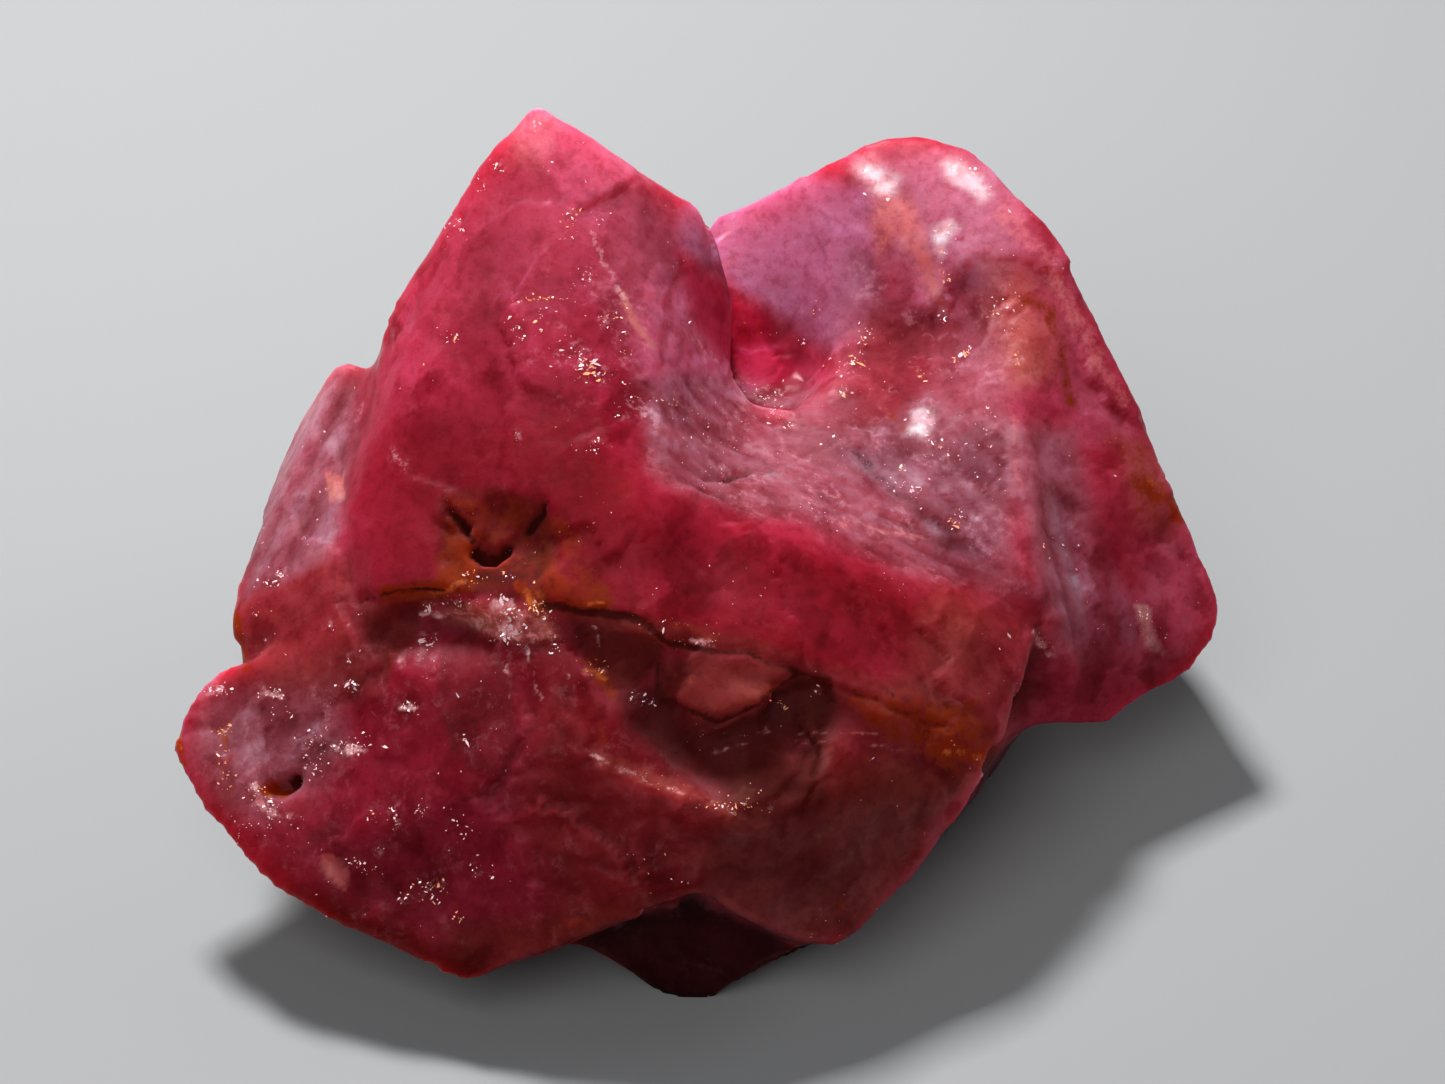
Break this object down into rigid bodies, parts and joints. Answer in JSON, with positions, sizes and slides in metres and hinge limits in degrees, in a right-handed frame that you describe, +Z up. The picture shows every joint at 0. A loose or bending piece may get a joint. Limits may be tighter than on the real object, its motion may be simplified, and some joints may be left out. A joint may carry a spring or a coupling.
{
  "type": "spinel crystal",
  "caption": "Rough translucent red spinel: intergrown octahedral crystals with a saddle, ledge and pits, on a flat face to rest on.",
  "frame": {"origin": "on the floor, under the middle of the stone's box", "axes": "+Z up from the flat face that it rests on, +X to the right crystal, -Y to the front with the ledge"},
  "size_m": [0.0142, 0.0112, 0.0091],
  "materials": {
    "spinel": "satin"
  },
  "bodies": {
    "root": {"spinel_crystal": "spinel"}
  },
  "joints": []
}
